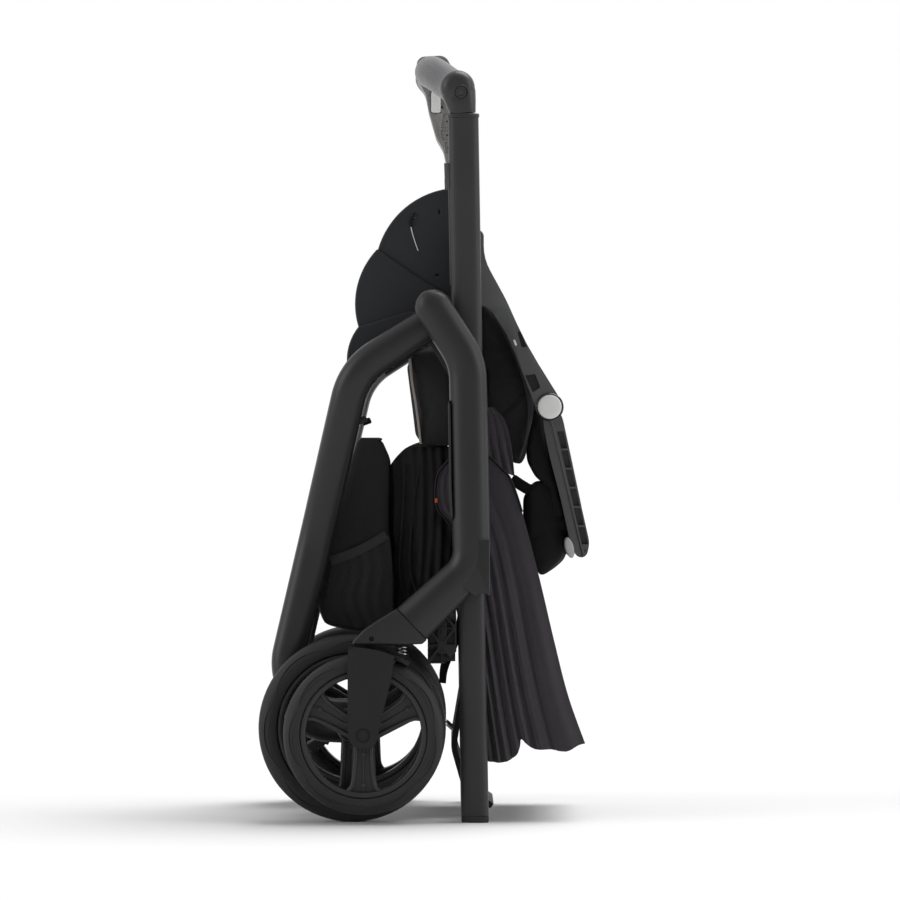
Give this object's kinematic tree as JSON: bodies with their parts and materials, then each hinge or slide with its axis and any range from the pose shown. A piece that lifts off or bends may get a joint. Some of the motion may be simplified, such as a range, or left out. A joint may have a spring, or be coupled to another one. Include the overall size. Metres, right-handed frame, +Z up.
{
  "type": "convertible stroller",
  "caption": "Folded compact stroller standing upright, with telescoping push bar, clam-folded seat, pleated canopy, suspension casters and basket.",
  "frame": {"origin": "middle of the floor area under the folded, standing stroller", "axes": "+Z up, +X the way the stroller drives once open, -Y its right side"},
  "size_m": [0.3874, 0.5256, 0.9016],
  "materials": {
    "frame": "satin graphite powder coat",
    "plastic": "fine moulded grain",
    "silver": "silver-white satin",
    "rubber": "matte",
    "tyre": "matte foam tyre",
    "steel": "zinc plated",
    "fabric": "fine woven polyester",
    "foam": "wrapped leather look"
  },
  "bodies": {
    "chassis": {"front_leg_right": "frame", "outer_tube_right": "frame", "hub_pin_right": "steel", "front_leg_left": "frame", "outer_tube_left": "frame", "hub_pin_left": "steel", "crossbeam": "plastic"},
    "rear_frame": {"rear_leg_right": "frame", "rear_leg_left": "frame", "rear_axle": "steel", "basket": "fabric", "basket_flap": "fabric"},
    "rear_wheel_right": {"rear_tyre_right": "tyre", "rear_rim_right": "plastic"},
    "caster_right": {"caster_head_right": "plastic", "suspension_spring_right": "steel"},
    "fork_right": {"fork_right": "plastic", "front_axle_right": "steel"},
    "front_wheel_right": {"front_tyre_right": "tyre", "front_rim_right": "plastic"},
    "push_bar": {"inner_tube_right": "frame", "foot_cap_right": "rubber", "elbow_right": "plastic", "grip_right": "foam", "inner_tube_left": "frame", "foot_cap_left": "rubber", "elbow_left": "plastic", "grip_left": "foam", "handlebar": "frame", "fold_unit": "plastic"},
    "seat_back": {"hip_shell_right": "plastic", "hip_shell_left": "plastic", "back_shell": "plastic", "back_pad": "fabric", "back_cover": "fabric", "hip_cover": "fabric", "canopy_rear": "fabric"},
    "seat_base": {"seat_arm_right": "plastic", "seat_arm_left": "plastic", "seat_board": "plastic", "seat_pad": "fabric"},
    "release_button_right": {"release_button_right": "silver"},
    "rear_wheel_left": {"rear_tyre_left": "tyre", "rear_rim_left": "plastic"},
    "caster_left": {"caster_head_left": "plastic", "suspension_spring_left": "steel"},
    "fork_left": {"fork_left": "plastic", "front_axle_left": "steel"},
    "front_wheel_left": {"front_tyre_left": "tyre", "front_rim_left": "plastic"},
    "release_button_left": {"release_button_left": "silver"},
    "brake": {"brake_pedal": "plastic"},
    "fold_button": {"fold_button": "silver"},
    "recline_lever": {"recline_lever": "silver"},
    "canopy_middle": {"canopy_middle": "fabric"},
    "canopy_front": {"canopy_front": "fabric"},
    "leg_rest": {"leg_rest": "plastic", "trim_bar": "silver"}
  },
  "joints": [
    {"name": "fold_hinge", "type": "hinge", "parent": "chassis", "child": "rear_frame", "pos_m": [0.0109, 0, 0.5836], "axis": [0, 1, 0], "range_deg": [0, 72]},
    {"name": "push_bar_slide", "type": "slide", "parent": "chassis", "child": "push_bar", "axis": [-0.0167, 0, 0.9999], "range_m": [0, 0.4401]},
    {"name": "seat_flip", "type": "hinge", "parent": "chassis", "child": "seat_back", "pos_m": [0.0109, 0, 0.5836], "axis": [0, -1, 0], "range_deg": [0, 99.01]},
    {"name": "pan_open", "type": "hinge", "parent": "seat_back", "child": "seat_base", "pos_m": [0.0109, 0, 0.5836], "axis": [0, -1, 0], "range_deg": [0, 63.01]},
    {"name": "leg_rest_hinge", "type": "hinge", "parent": "seat_base", "child": "leg_rest", "pos_m": [0.1458, 0, 0.4831], "axis": [0, -1, 0], "range_deg": [0, 105]},
    {"name": "canopy_open", "type": "hinge", "parent": "seat_back", "child": "canopy_front", "pos_m": [0.047, 0, 0.3885], "axis": [0, -1, 0], "range_deg": [0, 84]},
    {"name": "canopy_middle_hinge", "type": "hinge", "parent": "seat_back", "child": "canopy_middle", "pos_m": [0.047, 0, 0.3885], "axis": [0, -1, 0], "range_deg": [0, 42.01]},
    {"name": "brake_hinge", "type": "hinge", "parent": "rear_frame", "child": "brake", "pos_m": [-0.0844, 0, 0.1092], "axis": [0, -1, 0], "range_deg": [0, 20]},
    {"name": "recline_lever_hinge", "type": "hinge", "parent": "seat_back", "child": "recline_lever", "pos_m": [0.0305, 0, 0.102], "axis": [0, -1, 0], "range_deg": [0, 15], "stiffness_Nm_per_rad": 0.3, "springref_deg": -5.73},
    {"name": "fold_button_slide", "type": "slide", "parent": "push_bar", "child": "fold_button", "axis": [0, 1, 0], "range_m": [0, 0.0025], "stiffness_N_per_m": 500, "springref_m": -0.001},
    {"name": "release_button_slide_right", "type": "slide", "parent": "seat_base", "child": "release_button_right", "axis": [0, 1, 0], "range_m": [0, 0.004], "stiffness_N_per_m": 400, "springref_m": -0.001},
    {"name": "caster_swivel_right", "type": "hinge", "parent": "chassis", "child": "caster_right", "pos_m": [-0.0144, -0.2289, 0.2317], "axis": [0.7193, 0, 0.6947], "range_deg": [-25, 4]},
    {"name": "suspension_right", "type": "hinge", "parent": "caster_right", "child": "fork_right", "pos_m": [-0.0607, -0.2289, 0.216], "axis": [0, -1, 0], "range_deg": [0, 6], "stiffness_Nm_per_rad": 60, "springref_deg": -2.86, "deforming": ["suspension_spring_right"]},
    {"name": "front_wheel_spin_right", "type": "hinge", "parent": "fork_right", "child": "front_wheel_right", "pos_m": [-0.0703, -0.235, 0.1041], "axis": [0, 1, 0], "continuous": true},
    {"name": "rear_wheel_spin_right", "type": "hinge", "parent": "rear_frame", "child": "rear_wheel_right", "pos_m": [-0.0844, -0.182, 0.1092], "axis": [0, 1, 0], "continuous": true},
    {"name": "release_button_slide_left", "type": "slide", "parent": "seat_base", "child": "release_button_left", "axis": [0, -1, 0], "range_m": [0, 0.004], "stiffness_N_per_m": 400, "springref_m": -0.001},
    {"name": "caster_swivel_left", "type": "hinge", "parent": "chassis", "child": "caster_left", "pos_m": [-0.0144, 0.2289, 0.2317], "axis": [0.7193, 0, 0.6947], "range_deg": [-4, 25]},
    {"name": "suspension_left", "type": "hinge", "parent": "caster_left", "child": "fork_left", "pos_m": [-0.0607, 0.2289, 0.216], "axis": [0, -1, 0], "range_deg": [0, 6], "stiffness_Nm_per_rad": 60, "springref_deg": -2.86, "deforming": ["suspension_spring_left"]},
    {"name": "front_wheel_spin_left", "type": "hinge", "parent": "fork_left", "child": "front_wheel_left", "pos_m": [-0.0703, 0.235, 0.1041], "axis": [0, 1, 0], "continuous": true},
    {"name": "rear_wheel_spin_left", "type": "hinge", "parent": "rear_frame", "child": "rear_wheel_left", "pos_m": [-0.0844, 0.182, 0.1092], "axis": [0, 1, 0], "continuous": true}
  ],
  "couplings": [
    {"joint": "push_bar_slide", "follows": "fold_hinge", "m_per_rad": 0.35014},
    {"joint": "seat_flip", "follows": "fold_hinge", "ratio": 1.375},
    {"joint": "pan_open", "follows": "fold_hinge", "ratio": 0.875},
    {"joint": "canopy_middle_hinge", "follows": "canopy_open", "ratio": 0.5}
  ]
}
